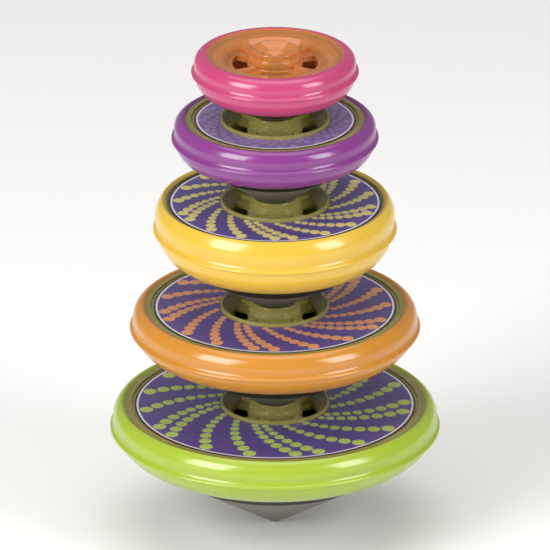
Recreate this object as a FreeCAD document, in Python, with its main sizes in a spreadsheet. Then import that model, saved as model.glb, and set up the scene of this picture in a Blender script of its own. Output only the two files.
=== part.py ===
import FreeCAD, Part
import math
import os
import re

import Sketcher

# Five spinning tops of falling size that stand on one another, tip in hub.
# The stack's axis is Z. The origin is the lowest point of the bottom top's ball.
# Inside one top, heights are measured up from the lowest point of its own ball.

# Sizes that differ from top to top, from the bottom of the stack upwards.
TOPS = {
    "green": {
        "lip_radius": 51.0,      # widest line of the rim
        "rim_width": 4.6,        # from the lip in to the deck
        "label_border": 3.0,     # bare deck between the rim and the label
        "label_gap": 0.9,        # groove left round the label in its recess
        "band_step": 11.0,       # bottom edge of the coloured rim, in from the lip
        "collar_width": 8.7,     # from that edge in to the nose
        "deck_height": 40.1,
        "crown_height": 7.2,     # deck over the lip
        "band_drop": 8.7,        # bottom edge of the rim under the lip
        "crest_rise": 0.5,       # highest line of the rim, over the deck
        "dish_depth": 0.0,
    },
    "orange": {
        "lip_radius": 44.8,
        "rim_width": 4.9,
        "label_border": 2.5,
        "label_gap": 0.9,
        "band_step": 9.8,
        "collar_width": 14.0,
        "deck_height": 34.3,
        "crown_height": 6.8,
        "band_drop": 7.9,
        "crest_rise": 0.5,
        "dish_depth": 0.0,
    },
    "yellow": {
        "lip_radius": 37.5,
        "rim_width": 3.8,
        "label_border": 1.0,
        "label_gap": 0.5,
        "band_step": 8.5,
        "collar_width": 9.0,
        "deck_height": 36.4,
        "crown_height": 8.9,
        "band_drop": 10.1,
        "crest_rise": 0.5,
        "dish_depth": 0.0,
    },
    "purple": {
        "lip_radius": 31.8,
        "rim_width": 4.4,
        "label_border": 2.6,
        "label_gap": 0.9,
        "band_step": 7.3,
        "collar_width": 6.0,
        "deck_height": 28.9,
        "crown_height": 6.1,
        "band_drop": 7.0,
        "crest_rise": 0.5,
        "dish_depth": 0.0,
    },
    "pink": {
        "lip_radius": 25.7,
        "rim_width": 4.7,
        "label_border": 0.0,
        "label_gap": 0.0,
        "band_step": 7.2,
        "collar_width": 6.5,
        "deck_height": 23.2,
        "crown_height": 5.9,
        "band_drop": 7.55,
        "crest_rise": -0.4,
        "dish_depth": 1.8,       # its deck slopes down to the rim of the well
    },
}
BARE_TOP = "pink"                # the smallest top carries no label

# Sizes that all five tops share.
COMMON = {
    "wall": 1.6,                 # moulded wall of the rim, core and skirt
    "crest_inset": 1.1,          # highest line of the rim, out from its inner edge
    "shoulder_bulge": 1.15,      # how far the shoulder stands out from its chord
    "cove_inset": 1.1,           # bottom of the shoulder, in from the lip
    "cove_height": 1.7,
    "cove_hollow": 0.18,
    "lip_half": 0.5,             # half the thickness of the lip bead
    "lip_bulge": 0.35,
    "band_inset": 0.9,           # lower band, in from the lip
    "band_bulge": 1.6,
    "flange_thickness": 2.2,
    "ledge_width": 1.5,          # ledge in the rim that the core's flange rests on
    "ledge_thickness": 1.2,
    "spigot_height": 2.6,        # upstand of the lower band inside the shell
    "spigot_wall": 1.2,
    "trough_height": 4.9,        # floor of the rim's hollow, over the band's edge
    "ring_thickness": 2.5,       # steel weight ring
    "ring_clearance": 0.4,
    "recess_depth": 0.5,         # label recess in the deck
    "label_clearance": 0.2,      # round the inner edge of the label
    "label_thickness": 0.2,
    "skirt_inset": 2.0,          # skirt of the core, in from the rim's bottom edge
    "well_radius": 16.2,         # well round the hub, at the deck
    "well_taper": 2.4,           # how much narrower its floor is
    "floor_depth": 3.0,
    "well_border": 0.6,          # raised rim of the well
    "well_rise": 0.8,            # top of that rim over the deck
    "plug_radius": 6.2,          # nose of the next top at the mouth of the hub
    "plug_gap": 0.15,            # running gap round it
    "hub_rise": 1.7,             # top of the hub over the deck
    "hub_lip": 0.85,             # top of the hub round its mouth
    "hub_step": 0.7,             # how much wider the foot of the hub is
    "step_drop": 2.2,            # top of that foot, under the top of the hub
    "seat_margin": 0.1,          # rounded bottom of the tip seat, wider than the ball
    "seat_rise": 0.35,
    "seat_depth": 1.7,           # lowest point of the next top's ball, under the deck
    "seat_gap": 0.05,            # running gap under that ball
    "window_border": 0.6,        # four windows in the floor, clear of hub and wall
    "window_angle": 52.0,
    "rib_clearance": 0.8,        # ribs on the spokes, clear of the hub
    "rib_thickness": 1.3,
    "rib_height": 1.2,
    "post_radius": 4.0,          # post under the hub and in the nose
    "pin_radius": 1.5,           # pin of the nose, pressed into the core
    "pin_cover": 1.3,            # plastic left between the pin and the tip seat
    "base_wall": 2.2,            # wall of the collar and the nose
    "shelf_border": 0.9,         # flat shelf in the collar, wider than the skirt
    "rabbet_width": 2.0,         # inner lip of the collar over the nose
    "rabbet_height": 1.4,
    "cone_start": 0.2,           # height of the nose's cone line at the axis
    "snout_wall": 0.5,           # blunt end of the nose round the ball
    "snout_rise": 0.3,           # height of that blunt end
    "ball_radius": 1.0,
    "socket_gap": 0.05,
    "mouth_drop": 0.35,          # the socket closes this far under the ball's middle
}

# Lengths that follow from the sizes above, written as formulas on them.
DERIVED = {
    "deck_radius": "lip_radius - rim_width",
    "label_radius": "deck_radius - label_border",
    "band_radius": "lip_radius - band_step",
    "drum_radius": "band_radius - skirt_inset",
    "nose_radius": "band_radius - collar_width",
    "lip_height": "deck_height - crown_height",
    "band_height": "lip_height - band_drop",
    "seam_height": "lip_height - lip_half",
    "shell_radius": "lip_radius - cove_inset - wall",
    "lip_edge": "lip_radius - lip_bulge",
    "ledge_height": "deck_height - flange_thickness",
    "trough_level": "band_height + trough_height",
    "shelf_level": "band_height + base_wall",
    "shelf_edge": "drum_radius - wall - shelf_border",
    "slope": "(band_height - cone_start) / band_radius",
    "nose_edge": "cone_start + slope * nose_radius",
    "nose_top": "nose_edge + base_wall",
    "floor_level": "deck_height - floor_depth",
    "hub_top": "deck_height + hub_rise",
    "cup_floor": "deck_height - seat_depth - seat_gap",
    "pin_top": "cup_floor - pin_cover",
    "socket_radius": "ball_radius + socket_gap",
    "snout_radius": "ball_radius + snout_wall",
    "mouth_height": "ball_radius - mouth_drop",
    "snout_height": "mouth_height + snout_rise",
    "mouth_radius": "sqrt(socket_radius ^ 2 - (ball_radius - mouth_height) ^ 2)",
    "label_level": "deck_height - recess_depth",
    "floor_radius": "well_radius - well_taper",
    "hub_foot": "hub_radius + hub_step",
    "step_level": "hub_top - step_drop",
    "window_inner": "hub_foot + window_border",
    "window_outer": "floor_radius - window_border",
    "cup_radius": "plug_radius + plug_gap",
    "hub_radius": "cup_radius + hub_lip",
    "plug_height": "seat_depth + hub_rise + plug_gap",
    "well_top": "deck_height + well_rise - dish_depth",
    "seat_radius": "ball_radius + seat_margin",
    "well_edge": "well_radius + well_border",
    "recess_radius": "label_radius + label_gap",
    "well_back": "well_radius + wall",
    "floor_back": "floor_radius + wall",
}

WORD = re.compile(r"[a-z][a-z_]*")

doc = FreeCAD.newDocument("stacking_tops")
sheet = doc.addObject("Spreadsheet::Sheet", "Sizes")


def fill_sheet():
    """Write every driving dimension into the sheet, one row each."""
    rows = list(COMMON.items())
    for top, sizes in TOPS.items():
        rows += [(top + "_" + word, value) for word, value in sizes.items()]
    for number, (alias, value) in enumerate(rows, start=1):
        sheet.set("A%d" % number, alias)
        sheet.set("B%d" % number, str(value))
        sheet.setAlias("B%d" % number, alias)
    doc.recompute()


def formula(text, top):
    """Turn a formula on plain words into one on the sheet's cells for one top."""

    def cell(match):
        word = match.group(0)
        if word in DERIVED:
            return "(" + formula(DERIVED[word], top) + ")"
        if word in TOPS[top]:
            return "Sizes." + top + "_" + word
        if word in COMMON:
            return "Sizes." + word
        return word

    return WORD.sub(cell, text)


def stand_height(top):
    """Height of a top's ball over the origin: each one sits in the hub below it."""
    total = "0"
    for lower in TOPS:
        if lower == top:
            break
        total += " + " + formula("deck_height - seat_depth", lower)
    return total


def bulge_radius(across, up, bulge):
    """Radius of an arc from the two legs of its chord and its rise over that chord."""
    return "((({0}) ^ 2 + ({1}) ^ 2) / 4 + ({2}) ^ 2) / (2 * ({2}))".format(across, up, bulge)


def arc(radius, turn):
    """An arc to the next corner of an outline, turning left or right as it goes."""
    return {"radius": radius, "turn": turn}


def new_body(top, piece):
    body = doc.addObject("PartDesign::Body", top + "_" + piece)
    body.Label = top + "_" + piece
    body.setExpression("Placement.Base.z", stand_height(top))
    return body


def new_sketch(body, role, name):
    sketch = body.newObject("Sketcher::SketchObject", body.Name + "_" + name)
    planes = [plane for plane in body.Origin.OriginFeatures if plane.Role == role]
    sketch.AttachmentSupport = [(planes[0], "")]
    sketch.MapMode = "FlatFace"
    return sketch


def bind(sketch, kind, geometry, text, value):
    """Add one driving dimension to a sketch and tie it to the sheet."""
    index = sketch.addConstraint(Sketcher.Constraint(kind, *geometry, value))
    sketch.setExpression("Constraints[%d]" % index, text)


def arc_edge(start, end, radius, turn):
    """The curve between two points, and which of its ends is the start."""
    chord = end - start
    side = FreeCAD.Vector(-chord.y, chord.x, 0).normalize()
    if turn == "right":
        side = side * -1
    reach = math.sqrt(max(radius ** 2 - (chord.Length / 2) ** 2, 0))
    centre = (start + end) * 0.5 + side * reach
    first, last = (start, end) if turn == "left" else (end, start)
    angles = [math.atan2(point.y - centre.y, point.x - centre.x) for point in (first, last)]
    circle = Part.Circle(centre, FreeCAD.Vector(0, 0, 1), radius)
    return Part.ArcOfCircle(circle, *angles), 1 if turn == "left" else 2


def draw_outline(sketch, outline, top):
    """Draw a closed outline of (radius, height) corners and tie each corner down."""
    corners = [item for item in outline if isinstance(item, tuple)]
    arcs = {}
    for item in outline:
        if isinstance(item, tuple):
            last = item
        else:
            arcs[corners.index(last)] = item
    texts = [(formula(across, top), formula(up, top)) for across, up in corners]
    points = []
    for across, up in texts:
        values = [float(sheet.evalExpression(text)) for text in (across, up)]
        points.append(FreeCAD.Vector(values[0], values[1], 0))
    edges = []
    for index, point in enumerate(points):
        target = points[(index + 1) % len(points)]
        if index in arcs:
            text = formula(arcs[index]["radius"], top)
            radius = float(sheet.evalExpression(text))
            curve, start_end = arc_edge(point, target, radius, arcs[index]["turn"])
            edge = sketch.addGeometry(curve)
            edges.append((edge, start_end, 3 - start_end, text, radius))
        else:
            edge = sketch.addGeometry(Part.LineSegment(point, target))
            edges.append((edge, 1, 2, None, None))
    for index, (edge, start, end, text, radius) in enumerate(edges):
        following = edges[(index + 1) % len(edges)]
        link = Sketcher.Constraint("Coincident", edge, end, following[0], following[1])
        sketch.addConstraint(link)
        across, up = texts[index]
        if points[index].x < 1e-6:
            sketch.addConstraint(Sketcher.Constraint("PointOnObject", edge, start, -2))
        else:
            bind(sketch, "DistanceX", (-1, 1, edge, start), across, points[index].x)
        bind(sketch, "DistanceY", (-1, 1, edge, start), up, points[index].y)
        if text:
            bind(sketch, "Radius", (edge,), text, radius)


def turn_sketch(body, sketch, name):
    turning = body.newObject("PartDesign::Revolution", body.Name + "_" + name)
    turning.Profile = sketch
    turning.ReferenceAxis = (sketch, ["V_Axis"])
    turning.Angle = 360.0
    body.Tip = turning


def turned(top, piece, outline):
    """A piece whose outline is turned once round the stack's axis."""
    body = new_body(top, piece)
    sketch = new_sketch(body, "XZ_Plane", "outline")
    draw_outline(sketch, outline, top)
    turn_sketch(body, sketch, "turning")
    return body


def rim_shell(top):
    """Upper half of the coloured rim: shoulder, cove and lip, open underneath."""
    crest_to_cove = (
        "lip_radius - cove_inset - deck_radius - crest_inset",
        "deck_height + crest_rise - lip_height - cove_height",
    )
    return turned(top, "rim_shell", [
        ("deck_radius", "deck_height"),
        ("deck_radius + crest_inset", "deck_height + crest_rise"),
        arc(bulge_radius(*crest_to_cove, "shoulder_bulge"), "right"),
        ("lip_radius - cove_inset", "lip_height + cove_height"),
        arc(bulge_radius("cove_inset - lip_bulge", "cove_height - lip_half", "cove_hollow"),
            "left"),
        ("lip_edge", "lip_height + lip_half"),
        arc(bulge_radius("0", "2 * lip_half", "lip_bulge"), "right"),
        ("lip_edge", "seam_height"),
        ("shell_radius", "seam_height"),
        ("shell_radius", "ledge_height - ledge_thickness"),
        ("deck_radius - ledge_width", "ledge_height - ledge_thickness"),
        ("deck_radius - ledge_width", "ledge_height"),
        ("deck_radius", "ledge_height"),
    ])


def rim_band(top):
    """Lower half of the rim: it plugs into the shell and closes the hollow."""
    band_legs = ("lip_radius - band_inset - band_radius", "seam_height - band_height")
    return turned(top, "rim_band", [
        ("lip_radius - band_inset", "seam_height"),
        arc(bulge_radius(*band_legs, "band_bulge"), "right"),
        ("band_radius", "band_height"),
        ("band_radius", "shelf_level"),
        ("drum_radius", "shelf_level"),
        ("drum_radius", "trough_level"),
        ("shell_radius - spigot_wall", "trough_level"),
        ("shell_radius - spigot_wall", "seam_height + spigot_height"),
        ("shell_radius", "seam_height + spigot_height"),
        ("shell_radius", "seam_height"),
    ])


def weight_ring(top):
    """Steel ring that lies in the rim's hollow, round the skirt of the core."""
    inner = "drum_radius + ring_clearance"
    outer = "shell_radius - spigot_wall - ring_clearance"
    return turned(top, "weight_ring", [
        (inner, "trough_level"),
        (outer, "trough_level"),
        (outer, "trough_level + ring_thickness"),
        (inner, "trough_level + ring_thickness"),
    ])


def hub_outline():
    """Tip seat, hub and well, from the axis out to the edge of the well."""
    return [
        ("0", "pin_top"),
        ("0", "cup_floor"),
        arc("(seat_radius ^ 2 + seat_rise ^ 2) / (2 * seat_rise)", "left"),
        ("seat_radius", "cup_floor + seat_rise"),
        ("cup_radius", "hub_top"),
        ("hub_radius", "hub_top"),
        ("hub_radius", "step_level"),
        ("hub_foot", "step_level"),
        ("hub_foot", "floor_level"),
        ("floor_radius", "floor_level"),
        ("well_radius", "well_top"),
    ]


def post_outline():
    """Underside of the well's floor, the post and its bore, back to the axis."""
    return [
        ("post_radius", "floor_level - wall"),
        ("post_radius", "nose_top"),
        ("pin_radius", "nose_top"),
        ("pin_radius", "pin_top"),
    ]


def deck_outline(top):
    """Deck from the edge of the well out to the rim, and its underside."""
    if top == BARE_TOP:
        deck = [("well_edge", "well_top")]
    else:
        deck = [
            ("well_edge", "well_top"),
            ("well_edge", "label_level"),
            ("recess_radius", "label_level"),
            ("recess_radius", "deck_height"),
        ]
    return deck + [
        ("deck_radius", "deck_height"),
        ("deck_radius", "ledge_height"),
        ("well_back", "ledge_height"),
        ("floor_back", "floor_level - wall"),
    ]


def add_skirt(body, top):
    """Round skirt that stands on the collar: under the deck, or under a dished well."""
    rise = "floor_level" if top == BARE_TOP else "ledge_height + wall / 2"
    sketch = new_sketch(body, "XZ_Plane", "skirt")
    draw_outline(sketch, [
        ("drum_radius", "shelf_level"),
        ("drum_radius", rise),
        ("drum_radius - wall", rise),
        ("drum_radius - wall", "shelf_level"),
    ], top)
    turn_sketch(body, sketch, "skirt_turning")


def cut_windows(body, top):
    """Four windows through the floor of the well."""
    sketch = new_sketch(body, "XY_Plane", "window")
    inner = float(sheet.evalExpression(formula("window_inner", top)))
    outer = float(sheet.evalExpression(formula("window_outer", top)))
    half = math.radians(float(sheet.evalExpression(formula("window_angle", top)))) / 2
    centre = FreeCAD.Vector(0, 0, 0)
    up = FreeCAD.Vector(0, 0, 1)
    for radius in (inner, outer):
        sketch.addGeometry(Part.ArcOfCircle(Part.Circle(centre, up, radius), -half, half))
    for side in (-half, half):
        points = [
            FreeCAD.Vector(radius * math.cos(side), radius * math.sin(side), 0)
            for radius in (inner, outer)
        ]
        sketch.addGeometry(Part.LineSegment(*points))
    for curve in (0, 1):
        sketch.addConstraint(Sketcher.Constraint("Coincident", curve, 3, -1, 1))
    for line, arc_end in ((2, 1), (3, 2)):
        sketch.addConstraint(Sketcher.Constraint("Coincident", line, 1, 0, arc_end))
        sketch.addConstraint(Sketcher.Constraint("Coincident", line, 2, 1, arc_end))
    bind(sketch, "Radius", (0,), formula("window_inner", top), inner)
    bind(sketch, "Radius", (1,), formula("window_outer", top), outer)
    sketch.addConstraint(Sketcher.Constraint("Symmetric", 0, 1, 0, 2, -1))
    sketch.addConstraint(Sketcher.Constraint("Symmetric", 1, 1, 1, 2, -1))
    rise = "2 * window_inner * sin(window_angle * 1 deg / 2)"
    bind(sketch, "DistanceY", (0, 1, 0, 2), formula(rise, top), 2 * inner * math.sin(half))
    pocket = body.newObject("PartDesign::Pocket", body.Name + "_windows")
    pocket.Profile = sketch
    pocket.Type = "ThroughAll"
    pocket.Reversed = True
    body.Tip = pocket
    repeat(body, pocket, 4)


def add_ribs(body, top):
    """Low ribs out to the wall of the well, one on each spoke, clear of the hub."""
    sketch = new_sketch(body, "XY_Plane", "rib")
    sketch.setExpression("AttachmentOffset.Base.z", formula("floor_level - wall / 2", top))
    inner = formula("hub_foot + rib_clearance", top)
    outer = formula("floor_radius + wall / 4", top)
    width = formula("rib_thickness", top)
    ends = [float(sheet.evalExpression(text)) for text in (inner, outer)]
    half = float(sheet.evalExpression(width)) / 2
    corners = [(ends[0], -half), (ends[1], -half), (ends[1], half), (ends[0], half)]
    points = [FreeCAD.Vector(across, up, 0) for across, up in corners]
    for index, point in enumerate(points):
        sketch.addGeometry(Part.LineSegment(point, points[(index + 1) % 4]))
    for index in range(4):
        sketch.addConstraint(Sketcher.Constraint("Coincident", index, 2, (index + 1) % 4, 1))
    for index, kind in enumerate(("Horizontal", "Vertical", "Horizontal")):
        sketch.addConstraint(Sketcher.Constraint(kind, index))
    sketch.addConstraint(Sketcher.Constraint("Symmetric", 3, 1, 3, 2, -1))
    bind(sketch, "DistanceX", (-1, 1, 0, 1), inner, ends[0])
    bind(sketch, "DistanceX", (-1, 1, 0, 2), outer, ends[1])
    bind(sketch, "DistanceY", (1, 1, 1, 2), width, 2 * half)
    rib = body.newObject("PartDesign::Pad", body.Name + "_ribs")
    rib.Profile = sketch
    rib.setExpression("Length", formula("rib_height + wall / 2", top))
    body.Tip = rib
    repeat(body, rib, 4, FreeCAD.Rotation(FreeCAD.Vector(0, 0, 1), 45))


def repeat(body, feature, count, turn=None):
    """Repeat a feature round the axis, first turning its sketch to its own place."""
    sketch = feature.Profile[0]
    if turn:
        offset = sketch.AttachmentOffset
        sketch.AttachmentOffset = FreeCAD.Placement(offset.Base, turn)
    pattern = body.newObject("PartDesign::PolarPattern", feature.Name + "_pattern")
    pattern.Originals = [feature]
    pattern.Axis = (sketch, ["N_Axis"])
    pattern.Angle = 360.0
    pattern.Occurrences = count
    body.Tip = pattern


def core(top):
    """See-through middle: deck, well, hub with the next top's tip seat, and skirt."""
    body = turned(top, "core", hub_outline() + deck_outline(top) + post_outline())
    add_skirt(body, top)
    doc.recompute()
    cut_windows(body, top)
    add_ribs(body, top)
    return body


def label(top):
    """Printed foil ring in the recess of the deck."""
    inner = "well_edge + label_clearance"
    return turned(top, "label", [
        (inner, "label_level"),
        ("label_radius", "label_level"),
        ("label_radius", "label_level + label_thickness"),
        (inner, "label_level + label_thickness"),
    ])


def collar(top):
    """Black conical ring that carries the skirt and closes the bottom round the nose."""
    return turned(top, "collar", [
        ("nose_radius", "nose_edge"),
        ("band_radius", "band_height"),
        ("band_radius", "shelf_level"),
        ("shelf_edge", "shelf_level"),
        ("nose_radius", "nose_top + rabbet_height"),
        ("nose_radius - rabbet_width", "nose_top + rabbet_height"),
        ("nose_radius - rabbet_width", "nose_top"),
        ("nose_radius", "nose_top"),
    ])


def nose(top):
    """Grey cone that holds the ball, with a post and a pin up into the core."""
    rim = "nose_radius - rabbet_width - wall / 2"
    inner = "cone_start + slope * ({0}) + base_wall"
    return turned(top, "nose", [
        ("0", "ball_radius + socket_radius"),
        ("0", "pin_top"),
        ("pin_radius", "pin_top"),
        ("pin_radius", "nose_top"),
        ("post_radius", "nose_top"),
        ("post_radius", inner.format("post_radius")),
        (rim, inner.format(rim)),
        (rim, "nose_top"),
        ("nose_radius", "nose_top"),
        ("nose_radius", "nose_edge"),
        ("plug_radius", "plug_height"),
        ("snout_radius", "snout_height"),
        ("snout_radius", "mouth_height"),
        ("mouth_radius", "mouth_height"),
        arc("socket_radius", "left"),
    ])


def ball_tip(top):
    """Steel ball that the top spins on, free in the nose's socket."""
    ball = doc.addObject("Part::Sphere", top + "_ball_tip")
    ball.Label = top + "_ball_tip"
    ball.setExpression("Radius", "Sizes.ball_radius")
    ball.setExpression("Placement.Base.z", stand_height(top) + " + Sizes.ball_radius")
    return ball


def check(pieces):
    """Stop before anything is written if an object failed or a shape is unsound."""
    failed = [thing.Name for thing in doc.Objects
              if "Invalid" in thing.State or "Error" in thing.State]
    unsound = [piece.Label for piece in pieces
               if piece.Shape.isNull() or not piece.Shape.isValid()]
    if failed or unsound:
        raise RuntimeError("failed: %s; unsound: %s" % (failed, unsound))


fill_sheet()
pieces = []
for name in TOPS:
    pieces += [rim_shell(name), rim_band(name), weight_ring(name), core(name)]
    if name != BARE_TOP:
        pieces.append(label(name))
    pieces += [collar(name), nose(name), ball_tip(name)]
doc.recompute()
check(pieces)
os.makedirs("parts", exist_ok=True)
for piece in pieces:
    piece.Shape.exportStep(os.path.join("parts", piece.Label + ".step"))
    print("%-20s %8.1f mm3" % (piece.Label, piece.Shape.Volume))
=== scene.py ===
import math

import bmesh
import bpy
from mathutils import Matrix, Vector


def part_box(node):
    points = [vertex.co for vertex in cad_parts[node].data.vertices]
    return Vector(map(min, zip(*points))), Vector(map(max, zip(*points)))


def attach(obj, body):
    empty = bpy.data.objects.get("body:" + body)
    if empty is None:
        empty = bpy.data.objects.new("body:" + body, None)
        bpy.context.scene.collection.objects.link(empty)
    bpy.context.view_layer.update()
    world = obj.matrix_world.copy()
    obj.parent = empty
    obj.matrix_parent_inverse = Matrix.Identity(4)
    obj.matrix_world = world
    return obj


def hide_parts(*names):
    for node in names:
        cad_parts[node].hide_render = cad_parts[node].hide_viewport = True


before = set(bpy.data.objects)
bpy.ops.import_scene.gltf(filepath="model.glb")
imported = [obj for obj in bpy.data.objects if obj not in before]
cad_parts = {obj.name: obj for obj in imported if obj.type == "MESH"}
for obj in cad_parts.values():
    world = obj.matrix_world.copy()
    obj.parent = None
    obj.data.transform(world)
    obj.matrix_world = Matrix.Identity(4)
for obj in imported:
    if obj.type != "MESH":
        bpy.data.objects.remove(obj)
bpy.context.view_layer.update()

mm = 0.001

# Looks of the five tops, from the floor up.
tops = {
    "green": {"rim": "#9bb130", "rimDeep": "#94aa2b", "labelGap": 0.9,
              "ink": "#4c3a7c", "inkPale": "#62508c", "dots": "#b4c75e", "dotsThin": "#a3b560",
              "dotCount": 8, "lastDot": 4.2, "firstArm": 250},
    "orange": {"rim": "#c1812a", "rimDeep": "#bb7b25", "labelGap": 0.9,
               "ink": "#4c3a7c", "inkPale": "#62508c", "dots": "#dc9a62", "dotsThin": "#c98a66",
               "dotCount": 8, "lastDot": 3.8, "firstArm": 230},
    "yellow": {"rim": "#d6b03c", "rimDeep": "#d0a936", "labelGap": 0.5,
               "ink": "#4c3a7c", "inkPale": "#62508c", "dots": "#e0d27e", "dotsThin": "#cdbf7c",
               "dotCount": 7, "lastDot": 3.4, "firstArm": 241},
    "purple": {"rim": "#7e367f", "rimDeep": "#773078", "labelGap": 0.9,
               "ink": "#6c578f", "inkPale": "#8b76a6", "dots": "#9c82b6", "dotsThin": "#9079ac",
               "dotCount": 5, "lastDot": 2.4, "firstArm": 245},
    "pink": {"rim": "#b8406f", "rimDeep": "#b03868", "dish": 1.8},
}

# Sizes in millimetres that several pieces share.
shared = {
    "wall": 1.6, "baseWall": 2.2, "coveInset": 1.1, "skirtInset": 2.0, "wellEdge": 16.8,
    "postRadius": 4.0, "pinRadius": 1.5, "rabbetWidth": 2.0,
}


def linearColour(hexText):
    channels = [int(hexText[i:i + 2], 16) / 255 for i in (1, 3, 5)]
    return (*(c / 12.92 if c <= 0.04045 else ((c + 0.055) / 1.055) ** 2.4 for c in channels), 1.0)


def inMetres(sizes):
    return {key: value * mm for key, value in {**shared, **sizes}.items()}


# An outline is a closed list of (radius, height) points that is turned round Z.

def bulged(start, end, bulge, steps=12):
    # points of an arc from start to end that stands out to the right of the way it goes
    (r0, z0), (r1, z1) = start, end
    across, up = r1 - r0, z1 - z0
    chord = math.hypot(across, up)
    rightR, rightZ = up / chord, -across / chord
    radius = (chord * chord / 4 + bulge * bulge) / (2 * abs(bulge))
    half = math.asin(min(1, chord / 2 / radius))
    side = 1 if bulge > 0 else -1
    points = []
    for i in range(steps + 1):
        angle = half * (2 * i / steps - 1)
        along = radius * math.sin(angle) / chord + 0.5
        out = side * (radius * math.cos(angle) - radius * math.cos(half))
        points.append((r0 + across * along + rightR * out, z0 + up * along + rightZ * out))
    return points


def rounded(corners, steps=4, closed=True):
    # corners are (radius, height) or (radius, height, fillet)
    points = []
    count = len(corners)
    for i, corner in enumerate(corners):
        here = Vector(corner[:2])
        fillet = corner[2] if len(corner) > 2 else 0
        if not fillet or (not closed and i in (0, count - 1)):
            points.append(tuple(here))
            continue
        before = Vector(corners[i - 1][:2]) - here
        after = Vector(corners[(i + 1) % count][:2]) - here
        angle = before.angle(after)
        reach = min(fillet / math.tan(angle / 2), before.length * 0.48, after.length * 0.48)
        first = here + before.normalized() * reach
        last = here + after.normalized() * reach
        for k in range(steps + 1):
            t = k / steps
            points.append(tuple(first * (1 - t) ** 2 + here * 2 * t * (1 - t) + last * t * t))
    return points


def addObject(name, mesh):
    obj = bpy.data.objects.new(name, mesh)
    bpy.context.scene.collection.objects.link(obj)
    return obj


def finishMesh(obj, sharpAngle=32):
    mesh = obj.data
    work = bmesh.new()
    work.from_mesh(mesh)
    bmesh.ops.remove_doubles(work, verts=work.verts, dist=1e-7)
    bmesh.ops.recalc_face_normals(work, faces=work.faces)
    work.to_mesh(mesh)
    work.free()
    mesh.shade_smooth()
    mesh.set_sharp_from_angle(angle=math.radians(sharpAngle))
    return obj


def turned(name, outline, segments=256):
    # points on the axis become one pole
    verts, faces, rows = [], [], []
    for r, z in outline:
        if r < 1e-7:
            rows.append([len(verts)])
            verts.append((0, 0, z))
        else:
            rows.append(list(range(len(verts), len(verts) + segments)))
            for k in range(segments):
                angle = 2 * math.pi * k / segments
                verts.append((r * math.cos(angle), r * math.sin(angle), z))
    for i, row in enumerate(rows):
        other = rows[(i + 1) % len(rows)]
        if len(row) == 1 and len(other) == 1:
            continue
        for k in range(segments):
            n = (k + 1) % segments
            if len(row) == 1:
                faces.append((row[0], other[n], other[k]))
            elif len(other) == 1:
                faces.append((row[k], row[n], other[0]))
            else:
                faces.append((row[k], row[n], other[n], other[k]))
    mesh = bpy.data.meshes.new(name)
    mesh.from_pydata(verts, [], faces)
    return finishMesh(addObject(name, mesh))


def prism(name, plan, low, high):
    # an upright solid on a closed plan, used to cut or to add
    count = len(plan)
    verts = [(x, y, low) for x, y in plan] + [(x, y, high) for x, y in plan]
    faces = [tuple(range(count)), tuple(range(count, 2 * count))]
    for k in range(count):
        n = (k + 1) % count
        faces.append((k, n, count + n, count + k))
    mesh = bpy.data.meshes.new(name)
    mesh.from_pydata(verts, [], faces)
    return finishMesh(addObject(name, mesh))


def bakeModifiers(obj):
    # the evaluated result replaces the mesh, and no modifier is left
    bpy.context.view_layer.update()
    evaluated = obj.evaluated_get(bpy.context.evaluated_depsgraph_get())
    mesh = bpy.data.meshes.new_from_object(evaluated)
    obj.modifiers.clear()
    obj.data = mesh
    return obj


def combine(obj, tools, operation):
    for tool in tools:
        modifier = obj.modifiers.new(operation, "BOOLEAN")
        modifier.operation = operation
        modifier.solver = "EXACT"
        modifier.object = tool
    bakeModifiers(obj)
    for tool in tools:
        bpy.data.objects.remove(tool)
    return finishMesh(obj)


def dress(obj, top, half, material, slotName, *replaced):
    obj.data.materials.clear()
    obj.data.materials.append(material)
    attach(obj, top + "_" + half)
    if replaced:
        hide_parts(*replaced)
    return obj


def readSizes(top):
    # everything that places a piece comes off the frame
    shellLow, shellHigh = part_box(top + "_rim_shell")
    bandLow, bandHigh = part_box(top + "_rim_band")
    coreLow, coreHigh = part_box(top + "_core")
    collarLow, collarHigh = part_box(top + "_collar")
    noseLow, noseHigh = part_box(top + "_nose")
    ballLow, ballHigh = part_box(top + "_ball_tip")
    sizes = {
        "stand": ballLow.z,
        "ball": (ballHigh.z - ballLow.z) / 2,
        "lip": shellHigh.x,
        "deckEdge": coreHigh.x,
        "crest": shellHigh.z,
        "deck": coreHigh.z - coreShape["hubRise"] * mm,
        "seam": shellLow.z,
        "bandOuter": bandHigh.x,
        "foot": bandLow.z,
        "footEdge": collarHigh.x,
        "shelf": bandLow.z + shared["baseWall"] * mm,
        "nose": noseHigh.x,
        "noseEdge": collarLow.z,
        "pinTop": noseHigh.z,
        "mouth": noseLow.z,
        "noseTop": coreLow.z,
    }
    if top + "_label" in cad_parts:
        labelLow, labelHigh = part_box(top + "_label")
        sizes.update(label=labelHigh.x, labelLow=labelLow.z, labelTop=labelHigh.z)
    return sizes


# Materials.

def newMaterial(name, hexColour, **settings):
    material = bpy.data.materials.new(name)
    material.use_nodes = True
    shader = material.node_tree.nodes["Principled BSDF"]
    shader.inputs["Base Color"].default_value = linearColour(hexColour)
    for socket, value in settings.items():
        shader.inputs[socket].default_value = value
    return material, shader


def addNode(tree, kind, settings=None, inputs=None, links=None, feeds=None):
    # links maps an input of the new node to another node's output, and feeds maps an
    # output of the new node to another node's input
    node = tree.nodes.new(kind)
    for key, value in (settings or {}).items():
        setattr(node, key, value)
    for key, value in (inputs or {}).items():
        node.inputs[key].default_value = value
    for key, output in (links or {}).items():
        tree.links.new(output, node.inputs[key])
    for key, socket in (feeds or {}).items():
        tree.links.new(node.outputs[key], socket)
    return node


colourMix = {"data_type": "RGBA"}    # of such a node, inputs 6 and 7 and output 2 are the colours


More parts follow.
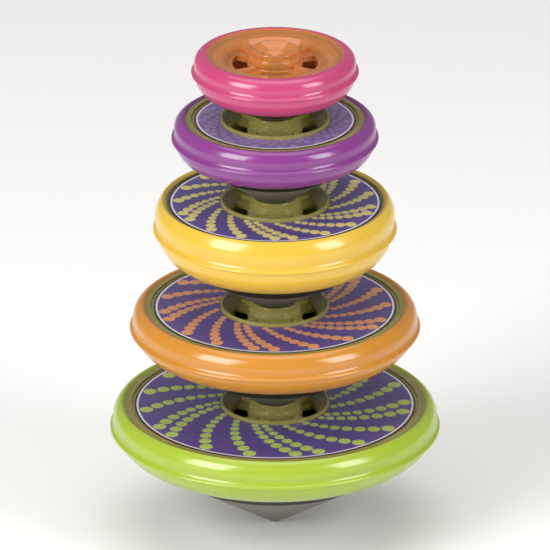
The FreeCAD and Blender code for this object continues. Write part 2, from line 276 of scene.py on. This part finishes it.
def glossyAbs(name, hexColour, hexDeep):
    # glossy moulded ABS, coloured through: even colour with faint flow marks about 22 mm
    # apart, and a skin that mirrors the lamps with an orange peel of 7 mm waves, drawn
    # coarser than the real one so that it shows
    material, shader = newMaterial(name, hexColour, **{
        "IOR": 1.53, "Coat Weight": 0.25, "Coat Roughness": 0.12,
    })
    tree = material.node_tree
    point = addNode(tree, "ShaderNodeTexCoord").outputs["Object"]
    flow = addNode(tree, "ShaderNodeTexNoise", inputs={"Scale": 1 / (22 * mm), "Detail": 3.0},
                   links={"Vector": point})
    addNode(tree, "ShaderNodeMix", colourMix, {6: linearColour(hexDeep), 7: linearColour(hexColour)},
            links={0: flow.outputs["Fac"]}, feeds={2: shader.inputs["Base Color"]})
    scuff = addNode(tree, "ShaderNodeTexNoise",
                    inputs={"Scale": 1 / (3 * mm), "Detail": 6.0, "Roughness": 0.7},
                    links={"Vector": point})
    addNode(tree, "ShaderNodeMapRange", inputs={
        "From Min": 0.35, "From Max": 0.75, "To Min": 0.19, "To Max": 0.26,
    }, links={"Value": scuff.outputs["Fac"]}, feeds={"Result": shader.inputs["Roughness"]})
    peel = addNode(tree, "ShaderNodeTexNoise", inputs={"Scale": 1 / (7 * mm), "Detail": 1.0},
                   links={"Vector": point})
    addNode(tree, "ShaderNodeBump", inputs={"Strength": 0.04, "Distance": 0.1 * mm},
            links={"Height": peel.outputs["Fac"]}, feeds={"Normal": shader.inputs["Normal"]})
    return material


def smokedPolycarbonate(name, hexColour, hexPale):
    # olive-amber polycarbonate from a polished mould: see-through, darker where it is thick,
    # with clouds of 11 mm and sink ripples of 7 mm
    material, shader = newMaterial(name, hexColour, **{
        "Roughness": 0.06, "IOR": 1.55, "Transmission Weight": 0.62, "Alpha": 0.85,
    })
    tree = material.node_tree
    point = addNode(tree, "ShaderNodeTexCoord").outputs["Object"]
    cloud = addNode(tree, "ShaderNodeTexNoise", inputs={"Scale": 1 / (11 * mm), "Detail": 3.0},
                    links={"Vector": point})
    addNode(tree, "ShaderNodeMix", colourMix, {6: linearColour(hexColour), 7: linearColour(hexPale)},
            links={0: cloud.outputs["Fac"]}, feeds={2: shader.inputs["Base Color"]})
    ripple = addNode(tree, "ShaderNodeTexNoise", inputs={"Scale": 1 / (7 * mm), "Detail": 2.0},
                     links={"Vector": point})
    addNode(tree, "ShaderNodeBump", inputs={"Strength": 0.15, "Distance": 0.3 * mm},
            links={"Height": ripple.outputs["Fac"]}, feeds={"Normal": shader.inputs["Normal"]})
    return material


# outline and grooveShade give a black band at the foil's outer edge, which is painted shade of the groove
# round the foil; border and borderInk give the printed white border
foilLook = {"outline": 0.6, "grooveShade": "#2a2622", "border": 0.6, "borderInk": "#dcd6e0"}


def printedFoil(name, labelRadius, ink, inkPale):
    # violet foil film: faint streaks from the roller, 17 mm long and 1.7 mm apart, a white border printed
    # just inside the outer edge, and at the edge itself a black band that is painted shade of the groove
    # round the foil
    material, shader = newMaterial(name, ink, **{
        "Roughness": 0.42, "Coat Weight": 0.2, "Coat Roughness": 0.25,
    })
    tree = material.node_tree
    point = addNode(tree, "ShaderNodeTexCoord").outputs["Object"]
    apart = addNode(tree, "ShaderNodeSeparateXYZ", links={"Vector": point})
    flat = addNode(tree, "ShaderNodeCombineXYZ", links={"X": apart.outputs["X"], "Y": apart.outputs["Y"]})
    radius = addNode(tree, "ShaderNodeVectorMath", {"operation": "LENGTH"},
                     links={"Vector": flat.outputs["Vector"]})
    stretch = addNode(tree, "ShaderNodeMapping", inputs={"Scale": (1 / (17 * mm), 1 / (1.7 * mm), 1.0)},
                      links={"Vector": point})
    streak = addNode(tree, "ShaderNodeTexNoise", inputs={"Scale": 1.0, "Detail": 4.0},
                     links={"Vector": stretch.outputs["Vector"]})
    colour = addNode(tree, "ShaderNodeMix", colourMix, {6: linearColour(ink), 7: linearColour(inkPale)},
                     links={0: streak.outputs["Fac"]})
    # the white border is print, and the black band at the very edge is painted shade of the groove
    borderPrintAndShade = {"borderInk": foilLook["border"] + foilLook["outline"], "grooveShade": foilLook["outline"]}
    for bandKey, width in borderPrintAndShade.items():
        beyond = addNode(tree, "ShaderNodeMath", {"operation": "GREATER_THAN"},
                         inputs={1: labelRadius - width * mm}, links={0: radius.outputs["Value"]})
        colour = addNode(tree, "ShaderNodeMix", colourMix, {7: linearColour(foilLook[bandKey])},
                         links={0: beyond.outputs["Value"], 6: colour.outputs[2]})
    tree.links.new(colour.outputs[2], shader.inputs["Base Color"])
    addNode(tree, "ShaderNodeBump", inputs={"Strength": 0.05, "Distance": 0.1 * mm},
            links={"Height": streak.outputs["Fac"]}, feeds={"Normal": shader.inputs["Normal"]})
    return material


def screenInk(name, hexColour, hexThin):
    # screen-printed ink on the foil: nearly flat, a little thin in spots of 1.4 mm
    material, shader = newMaterial(name, hexColour, **{
        "Roughness": 0.42, "Coat Weight": 0.2, "Coat Roughness": 0.25})
    tree = material.node_tree
    point = addNode(tree, "ShaderNodeTexCoord").outputs["Object"]
    mottle = addNode(tree, "ShaderNodeTexNoise", inputs={"Scale": 1 / (1.4 * mm), "Detail": 3.0},
                     links={"Vector": point})
    addNode(tree, "ShaderNodeMix", colourMix, {6: linearColour(hexThin), 7: linearColour(hexColour)},
            links={0: mottle.outputs["Fac"]}, feeds={2: shader.inputs["Base Color"]})
    return material


def sparkAbs(name, hexColour, hexPale, roughness):
    # ABS from a spark-eroded mould: an even grain with little gloss, 0.55 mm here, which is
    # coarser than the real one so that it shows
    material, shader = newMaterial(name, hexColour, **{
        "Roughness": roughness, "Specular IOR Level": 0.25})
    tree = material.node_tree
    point = addNode(tree, "ShaderNodeTexCoord").outputs["Object"]
    grain = addNode(tree, "ShaderNodeTexNoise", inputs={"Scale": 1 / (0.55 * mm), "Detail": 3.0},
                    links={"Vector": point})
    addNode(tree, "ShaderNodeMix", colourMix, {6: linearColour(hexColour), 7: linearColour(hexPale)},
            links={0: grain.outputs["Fac"]}, feeds={2: shader.inputs["Base Color"]})
    addNode(tree, "ShaderNodeBump", inputs={"Strength": 0.25, "Distance": 0.08 * mm},
            links={"Height": grain.outputs["Fac"]}, feeds={"Normal": shader.inputs["Normal"]})
    return material


def steel(name, hexColour, roughness):
    # polished on the ball, zinc plated and duller on the weight rings, with marks of 1.1 mm
    material, shader = newMaterial(name, hexColour, Metallic=1.0)
    tree = material.node_tree
    point = addNode(tree, "ShaderNodeTexCoord").outputs["Object"]
    marks = addNode(tree, "ShaderNodeTexNoise", inputs={"Scale": 1 / (1.1 * mm), "Detail": 4.0},
                    links={"Vector": point})
    addNode(tree, "ShaderNodeMapRange", inputs={"To Min": roughness * 0.7, "To Max": roughness * 1.5},
            links={"Value": marks.outputs["Fac"]}, feeds={"Result": shader.inputs["Roughness"]})
    return material


# Coloured rim: an upper shell with shoulder, cove and lip, and a lower band.

shellShape = {
    "crestInset": 1.1, "crestHollow": 0.12, "shoulderBulge": 1.15,
    "coveHeight": 1.7, "coveHollow": 0.18, "lipHalf": 0.5, "lipBulge": 0.35,
    "ledgeWidth": 1.5, "flange": 2.2, "ledge": 1.2,
}


def makeRimShell(top, s, material):
    k = inMetres(shellShape)
    lip = s["seam"] + k["lipHalf"]
    inner = s["lip"] - k["coveInset"] - k["wall"]
    under = s["deck"] - k["flange"]
    crest = (s["deckEdge"] + k["crestInset"], s["crest"])
    cove = (s["lip"] - k["coveInset"], lip + k["coveHeight"])
    lipTop = (s["lip"] - k["lipBulge"], lip + k["lipHalf"])
    lipFoot = (s["lip"] - k["lipBulge"], s["seam"])
    outline = [(s["deckEdge"], s["deck"])]
    outline += bulged((s["deckEdge"], s["deck"]), crest, -k["crestHollow"], 6)[1:]
    outline += bulged(crest, cove, -k["shoulderBulge"], 24)[1:]
    outline += bulged(cove, lipTop, k["coveHollow"], 8)[1:]
    outline += bulged(lipTop, lipFoot, -k["lipBulge"], 12)[1:]
    outline += [
        (inner, s["seam"]),
        (inner, under - k["ledge"]),
        (s["deckEdge"] - k["ledgeWidth"], under - k["ledge"]),
        (s["deckEdge"] - k["ledgeWidth"], under),
        (s["deckEdge"], under),
    ]
    return dress(turned(top + "_rim_upper", outline), top, "top", material,
                 top + "_abs", top + "_rim_shell")


bandShape = {"bulge": 1.6, "spigotWall": 1.2, "spigotHeight": 2.6, "trough": 4.9}


def makeRimBand(top, s, material):
    k = inMetres(bandShape)
    inner = s["lip"] - k["coveInset"] - k["wall"]
    outline = bulged((s["bandOuter"], s["seam"]), (s["footEdge"], s["foot"]), -k["bulge"], 28)
    outline += [
        (s["footEdge"], s["shelf"]),
        (s["footEdge"] - k["skirtInset"], s["shelf"]),
        (s["footEdge"] - k["skirtInset"], s["foot"] + k["trough"]),
        (inner - k["spigotWall"], s["foot"] + k["trough"]),
        (inner - k["spigotWall"], s["seam"] + k["spigotHeight"]),
        (inner, s["seam"] + k["spigotHeight"]),
        (inner, s["seam"]),
    ]
    return dress(turned(top + "_rim_lower", outline), top, "top", material,
                 top + "_abs", top + "_rim_band")


# See-through core: deck, well, hub with its tip seat, windows, ribs, skirt and post.

coreShape = {
    "flange": 2.2, "recess": 0.5, "wellRise": 0.8,
    "wellRadius": 16.2, "wellTaper": 2.4, "floorDepth": 3.0, "hubRadius": 7.2, "hubRise": 1.7,
    "hubStep": 0.7, "stepDrop": 2.2, "cupRadius": 6.35,
    "seatMargin": 0.1, "seatRise": 0.35, "seatBulge": 0.14, "seatDepth": 1.75,
    "windowBorder": 0.6, "ribClearance": 0.8, "ribThickness": 1.3, "ribHeight": 1.2,
    "soft": 0.35, "chamfer": 0.1,
}
windowPlan = {"count": 4, "angle": 52}


def makeCore(top, s, material):
    k = inMetres(coreShape)
    looks = tops[top]
    soft = k["soft"]
    deck = s["deck"]
    floor = deck - k["floorDepth"]
    under = deck - k["flange"]
    floorRadius = k["wellRadius"] - k["wellTaper"]
    seat = s["ball"] + k["seatMargin"]
    cupFloor = deck - k["seatDepth"]
    hubTop = deck + k["hubRise"]
    foot = k["hubRadius"] + k["hubStep"]
    step = hubTop - k["stepDrop"]
    drum = s["footEdge"] - k["skirtInset"]
    wellTop = deck + k["wellRise"] - looks.get("dish", 0) * mm
    cup = bulged((0, cupFloor), (seat, cupFloor + k["seatRise"]), k["seatBulge"], 8)
    outline = [(0, s["pinTop"])] + cup[:-1]
    outline += rounded([
        cup[-1],
        (k["cupRadius"], hubTop, soft),
        (k["hubRadius"], hubTop, soft),
        (k["hubRadius"], step, soft),
        (foot, step, soft),
        (foot, floor, soft),
        (floorRadius, floor, soft),
        (k["wellRadius"], wellTop, soft),
        (k["wellEdge"], wellTop),
    ], closed=False)
    if "label" in s:
        recess = s["label"] + looks["labelGap"] * mm
        outline += [
            (k["wellEdge"], deck - k["recess"]),
            (recess, deck - k["recess"]),
            (recess, deck - k["chamfer"]),
            (recess + k["chamfer"], deck),
        ]
    outline += [(s["deckEdge"], deck), (s["deckEdge"], under)]
    skirt = [(drum, s["shelf"]), (drum - k["wall"], s["shelf"])]
    if "label" in s:
        outline += [(drum, under), *skirt, (drum - k["wall"], under)]
        outline += [(k["wellRadius"] + k["wall"], under), (floorRadius + k["wall"], floor - k["wall"])]
    else:
        outline += [(k["wellRadius"] + k["wall"], under), (drum, floor), *skirt]
        outline += [(drum - k["wall"], floor - k["wall"])]
    outline += [
        (k["postRadius"], floor - k["wall"]),
        (k["postRadius"], s["noseTop"]),
        (k["pinRadius"], s["noseTop"]),
        (k["pinRadius"], s["pinTop"]),
    ]
    core = turned(top + "_core_clear", outline, 192)
    windowIn = foot + k["windowBorder"]
    windowOut = floorRadius - k["windowBorder"]
    half = math.radians(windowPlan["angle"] / 2)
    windows, ribs = [], []
    for number in range(windowPlan["count"]):
        middle = 2 * math.pi * number / windowPlan["count"]
        sweep = [middle - half + 2 * half * i / 16 for i in range(17)]
        plan = [(windowIn * math.cos(a), windowIn * math.sin(a)) for a in sweep]
        plan += [(windowOut * math.cos(a), windowOut * math.sin(a)) for a in reversed(sweep)]
        windows.append(prism(top + "_window_tool", plan, floor - 2 * k["wall"], floor + k["wall"] / 2))
        spoke = middle + math.pi / windowPlan["count"]
        along = Vector((math.cos(spoke), math.sin(spoke)))
        side = Vector((-along.y, along.x)) * k["ribThickness"] / 2
        inner = along * (foot + k["ribClearance"])
        outer = along * (floorRadius + k["wall"] / 4)
        plan = [tuple(inner - side), tuple(outer - side), tuple(outer + side), tuple(inner + side)]
        ribs.append(prism(top + "_rib_tool", plan, floor - k["wall"] / 2, floor + k["ribHeight"]))
    combine(core, windows, "DIFFERENCE")
    combine(core, ribs, "UNION")
    return dress(core, top, "top", material, "smoke_polycarbonate", top + "_core")


# Foil label and its printed dots.

labelClearance = 0.2


def makeLabel(top, s, material):
    inner = (shared["wellEdge"] + labelClearance) * mm
    outline = [
        (inner, s["labelLow"]),
        (s["label"], s["labelLow"]),
        (s["label"], s["labelTop"]),
        (inner, s["labelTop"]),
    ]
    return dress(turned(top + "_label_foil", outline), top, "top", material,
                 "printed_foil", top + "_label")


dotShape = {
    "groups": 5, "armStep": 20.6, "pairPull": 10.1, "sweep": 29.0,
    "firstShare": 0.55, "firstGap": 0.3, "edgeGap": 1.4, "thickness": 0.06,
}

dotInputs = [
    "Groups", "Dots", "Start Radius", "End Radius", "Arm Step", "Pair Pull", "Sweep", "First Arm",
    "Small Dot", "Large Dot", "Height", "Thickness", "Ink",
]

# Each step is a name, an operation and what it works on: a number, an input or an earlier
# step. A group has 4 arms, and the power of 1.15 lets the gaps grow outwards.
dotSteps = [
    ("arms", "MULTIPLY", "Groups", 4),
    ("total", "MULTIPLY", "arms", "Dots"),
    ("dotsBefore", "DIVIDE", "index", "Dots"),
    ("arm", "FLOOR", "dotsBefore"),
    ("dot", "MODULO", "index", "Dots"),
    ("gaps", "SUBTRACT", "Dots", 1),
    ("along", "DIVIDE", "dot", "gaps"),
    ("inGroup", "MODULO", "arm", 4),
    ("groupsBefore", "DIVIDE", "arm", 4),
    ("group", "FLOOR", "groupsBefore"),
    ("afterFirst", "GREATER_THAN", "inGroup", 0.5),
    ("pull", "MULTIPLY", "afterFirst", "Pair Pull"),
    ("spaced", "MULTIPLY", "inGroup", "Arm Step"),
    ("start", "SUBTRACT", "spaced", "pull"),
    ("groupStep", "DIVIDE", 360.0, "Groups"),
    ("turn", "MULTIPLY", "group", "groupStep"),
    ("bend", "MULTIPLY", "Sweep", "along"),
    ("armAngle", "ADD", "start", "turn"),
    ("bent", "ADD", "bend", "First Arm"),
    ("degrees", "ADD", "armAngle", "bent"),
    ("angle", "RADIANS", "degrees"),
    ("reach", "SUBTRACT", "End Radius", "Start Radius"),
    ("eased", "POWER", "along", 1.15),
    ("outwards", "MULTIPLY", "reach", "eased"),
    ("radius", "ADD", "Start Radius", "outwards"),
    ("cosine", "COSINE", "angle"),
    ("sine", "SINE", "angle"),
    ("x", "MULTIPLY", "radius", "cosine"),
    ("y", "MULTIPLY", "radius", "sine"),
    ("growth", "SUBTRACT", "Large Dot", "Small Dot"),
    ("grown", "MULTIPLY", "growth", "along"),
    ("size", "ADD", "Small Dot", "grown"),
]


def buildDotTree():
    # arms of discs that grow outwards, in groups of a close pair and two single arms
    tree = bpy.data.node_groups.new("labelDots", "GeometryNodeTree")
    tree.interface.new_socket("Geometry", in_out="OUTPUT", socket_type="NodeSocketGeometry")
    kinds = {"Groups": "Int", "Dots": "Int", "Ink": "Material"}
    sockets = [tree.interface.new_socket(name, in_out="INPUT",
                                         socket_type="NodeSocket" + kinds.get(name, "Float"))
               for name in dotInputs]
    given = addNode(tree, "NodeGroupInput").outputs
    result = addNode(tree, "NodeGroupOutput")

    values = {item.name: socket for item, socket in zip(sockets, given)}
    values["index"] = addNode(tree, "GeometryNodeInputIndex").outputs[0]
    for name, operation, *terms in dotSteps:
        numbers = {i: term for i, term in enumerate(terms) if not isinstance(term, str)}
        wires = {i: values[term] for i, term in enumerate(terms) if isinstance(term, str)}
        values[name] = addNode(tree, "ShaderNodeMath", {"operation": operation}, numbers, wires).outputs[0]
    line = addNode(tree, "GeometryNodeMeshLine", links={"Count": values["total"]})
    place = addNode(tree, "ShaderNodeCombineXYZ", links={
        "X": values["x"], "Y": values["y"], "Z": values["Height"]})
    placed = addNode(tree, "GeometryNodeSetPosition", links={
        "Geometry": line.outputs[0], "Position": place.outputs[0]})
    scale = addNode(tree, "ShaderNodeCombineXYZ", links={
        "X": values["size"], "Y": values["size"], "Z": values["Thickness"]})
    disc = addNode(tree, "GeometryNodeMeshCylinder", {"fill_type": "NGON"},
                   inputs={"Vertices": 20, "Radius": 0.5, "Depth": 1.0})
    spread = addNode(tree, "GeometryNodeInstanceOnPoints", links={
        "Points": placed.outputs[0], "Instance": disc.outputs["Mesh"], "Scale": scale.outputs[0]})
    real = addNode(tree, "GeometryNodeRealizeInstances", links={"Geometry": spread.outputs[0]})
    addNode(tree, "GeometryNodeSetMaterial", links={
        "Geometry": real.outputs[0], "Material": values["Ink"]}, feeds={0: result.inputs[0]})
    return tree


def makeDots(top, s, ink, tree):
    looks = tops[top]
    k = dotShape
    large = looks["lastDot"] * mm
    small = large * k["firstShare"]
    values = {
        "Groups": k["groups"], "Dots": looks["dotCount"],
        "Start Radius": (shared["wellEdge"] + k["firstGap"]) * mm + small / 2,
        "End Radius": s["label"] - k["edgeGap"] * mm - large / 2,
        "Arm Step": k["armStep"], "Pair Pull": k["pairPull"], "Sweep": k["sweep"],
        "First Arm": looks["firstArm"],
        "Small Dot": small, "Large Dot": large,
        "Height": s["labelTop"], "Thickness": k["thickness"] * mm, "Ink": ink,
    }
    dots = addObject(top + "_label_dots", bpy.data.meshes.new(top + "_label_dots"))
    modifier = dots.modifiers.new("dots", "NODES")
    modifier.node_group = tree
    for item in tree.interface.items_tree:
        if item.item_type == "SOCKET" and item.in_out == "INPUT":
            modifier[item.identifier] = values[item.name]
    bakeModifiers(dots)
    return dress(finishMesh(dots), top, "top", ink, "printed_foil")


# Underside: black collar, grey nose, steel ball.

collarShape = {"shelfBorder": 0.9, "rabbetHeight": 1.4, "seamGap": 0.15, "seamRound": 0.2,
               "edgeRound": 0.3}


def makeCollar(top, s, material):
    k = inMetres(collarShape)
    shelfEdge = s["footEdge"] - k["skirtInset"] - k["wall"] - k["shelfBorder"]
    noseTop = s["noseTop"]
    outline = rounded([
        (s["nose"] + k["seamGap"], s["noseEdge"], k["seamRound"]),
        (s["footEdge"], s["foot"], k["edgeRound"]),
        (s["footEdge"], s["shelf"]),
        (shelfEdge, s["shelf"]),
        (s["nose"], noseTop + k["rabbetHeight"]),
        (s["nose"] - k["rabbetWidth"], noseTop + k["rabbetHeight"]),
        (s["nose"] - k["rabbetWidth"], noseTop),
        (s["nose"], noseTop),
    ])
    return dress(turned(top + "_collar_ring", outline), top, "top", material,
                 "black_abs", top + "_collar")


noseShape = {"snoutWall": 0.5, "snoutHeight": 0.95, "plugRadius": 6.2, "plugHeight": 3.55,
             "coneStart": 0.2, "socketGap": 0.05, "pinRound": 0.2, "edgeRound": 0.25,
             "snoutRound": 0.5, "mouthRound": 0.2, "mouthFlat": 0.1}


def makeNose(top, s, material):
    k = inMetres(noseShape)
    slope = (s["noseEdge"] - s["stand"] - k["coneStart"]) / s["nose"]
    snout = s["ball"] + k["snoutWall"]
    rim = s["nose"] - k["rabbetWidth"] - k["wall"] / 2

    def cone(radius):
        return s["stand"] + k["coneStart"] + slope * radius

    socket = s["ball"] + k["socketGap"]
    middle = s["stand"] + s["ball"]
    low = math.asin((s["mouth"] - middle) / socket)
    bore = []
    for i in range(17):
        angle = low + (math.pi / 2 - low) * i / 16
        bore.append((socket * math.cos(angle), middle + socket * math.sin(angle)))
    bore[-1] = (0, bore[-1][1])
    outline = bore + rounded([
        (0, s["pinTop"]),
        (k["pinRadius"], s["pinTop"], k["pinRound"]),
        (k["pinRadius"], s["noseTop"]),
        (k["postRadius"], s["noseTop"]),
        (k["postRadius"], cone(k["postRadius"]) + k["baseWall"]),
        (rim, cone(rim) + k["baseWall"]),
        (rim, s["noseTop"]),
        (s["nose"], s["noseTop"]),
        (s["nose"], s["noseEdge"], k["edgeRound"]),
        (k["plugRadius"], s["stand"] + k["plugHeight"]),
        (snout, s["stand"] + k["snoutHeight"], k["snoutRound"]),
        (snout, s["mouth"], k["mouthRound"]),
    ], closed=False)
    outline.append((snout - k["mouthFlat"], s["mouth"]))
    return dress(turned(top + "_nose_cone", outline), top, "top", material,
                 "grey_abs", top + "_nose")


def makeBall(top, s, material):
    steps = 40
    outline = []
    for i in range(steps + 1):
        angle = math.pi * (i / steps - 0.5)
        outline.append((s["ball"] * math.cos(angle), s["stand"] + s["ball"] * (1 + math.sin(angle))))
    outline[0] = (0, outline[0][1])
    outline[-1] = (0, outline[-1][1])
    return dress(turned(top + "_ball", outline, 64), top, "ball", material,
                 "ball_steel", top + "_ball_tip")


# Floor, lamps and camera.

studio = {
    "floor": "#f6f5f4", "floorShade": "#f2f1f0", "world": 0.28,
    "aimHeight": 82.8, "distance": 4000.0, "width": 169.3, "elevation": 22.4,
    "floorReach": 6.0,    # this one is in metres, the other lengths in millimetres
}
# Lamps: place and size in metres, power in watts.
lamps = {
    "keyLeft": {"at": (-0.85, -0.75, 0.65), "size": (0.65, 0.9), "power": 16.0},
    "fillRight": {"at": (0.95, -0.65, 0.6), "size": (0.5, 0.8), "power": 9.5},
    "overhead": {"at": (0.0, 0.1, 1.3), "size": (1.2, 1.0), "power": 7.5},
}


def makeStudio():
    mesh = bpy.data.meshes.new("floor")
    reach = studio["floorReach"]
    mesh.from_pydata([(-reach, -reach, 0), (reach, -reach, 0), (reach, reach, 0), (-reach, reach, 0)],
                     [], [(0, 1, 2, 3)])
    floor = addObject("studio_floor", mesh)
    material, shader = newMaterial("paintedFloor", studio["floor"], Roughness=0.55)
    tree = material.node_tree
    point = addNode(tree, "ShaderNodeTexCoord").outputs["Object"]
    cloud = addNode(tree, "ShaderNodeTexNoise", inputs={"Scale": 1 / (330 * mm)}, links={"Vector": point})
    addNode(tree, "ShaderNodeMix", colourMix,
            {6: linearColour(studio["floorShade"]), 7: linearColour(studio["floor"])},
            links={0: cloud.outputs["Fac"]}, feeds={2: shader.inputs["Base Color"]})
    floor.data.materials.append(material)
    world = bpy.data.worlds.new("studio")
    world.use_nodes = True
    sky = world.node_tree.nodes["Background"]
    sky.inputs["Color"].default_value = linearColour("#ffffff")
    sky.inputs["Strength"].default_value = studio["world"]
    bpy.context.scene.world = world
    aim = Vector((0, 0, studio["aimHeight"] * mm))
    for name, lamp in lamps.items():
        light = bpy.data.lights.new(name, "AREA")
        light.shape = "RECTANGLE"
        light.size, light.size_y = lamp["size"]
        light.energy = lamp["power"]
        obj = addObject(name, light)
        obj.location = lamp["at"]
        obj.rotation_euler = (aim - obj.location).to_track_quat("-Z", "Y").to_euler()
    camera = bpy.data.cameras.new("camera")
    camera.sensor_width = 36.0
    camera.lens = camera.sensor_width * studio["distance"] / studio["width"]
    camera.clip_end = 20.0
    view = addObject("camera", camera)
    tilt = math.radians(studio["elevation"])
    away = Vector((0, -math.cos(tilt), math.sin(tilt)))
    view.location = aim + away * studio["distance"] * mm
    view.rotation_euler = (-away).to_track_quat("-Z", "Y").to_euler()
    bpy.context.scene.camera = view
    bpy.context.scene.view_settings.view_transform = "Standard"


makeStudio()
print("studio ready")

clearOlive = smokedPolycarbonate("smokedPolycarbonate", "#d9cf72", "#e2d984")
clearAmber = smokedPolycarbonate("amberPolycarbonate", "#fba04c", "#fdae62")
blackAbs = sparkAbs("blackSatinAbs", "#181613", "#201d1a", 0.65)
greyAbs = sparkAbs("greySparkAbs", "#716c65", "#7b766f", 0.6)
ballSteel = steel("polishedBallSteel", "#c9c9cb", 0.12)
platedSteel = steel("zincPlatedSteel", "#b4b6b8", 0.35)
dotTree = buildDotTree()

for top, looks in tops.items():
    sizes = readSizes(top)
    rimAbs = glossyAbs(top + "GlossyAbs", looks["rim"], looks["rimDeep"])
    makeRimShell(top, sizes, rimAbs)
    makeRimBand(top, sizes, rimAbs)
    makeCore(top, sizes, clearAmber if "dish" in looks else clearOlive)
    if "label" in sizes:
        foil = printedFoil(top + "PrintedFoil", sizes["label"], looks["ink"], looks["inkPale"])
        makeLabel(top, sizes, foil)
    if "dots" in looks:
        makeDots(top, sizes, screenInk(top + "ScreenInk", looks["dots"], looks["dotsThin"]), dotTree)
    makeCollar(top, sizes, blackAbs)
    makeNose(top, sizes, greyAbs)
    makeBall(top, sizes, ballSteel)
    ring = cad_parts[top + "_weight_ring"]
    ring.data.materials.clear()
    ring.data.materials.append(platedSteel)
    print(top, "top ready")
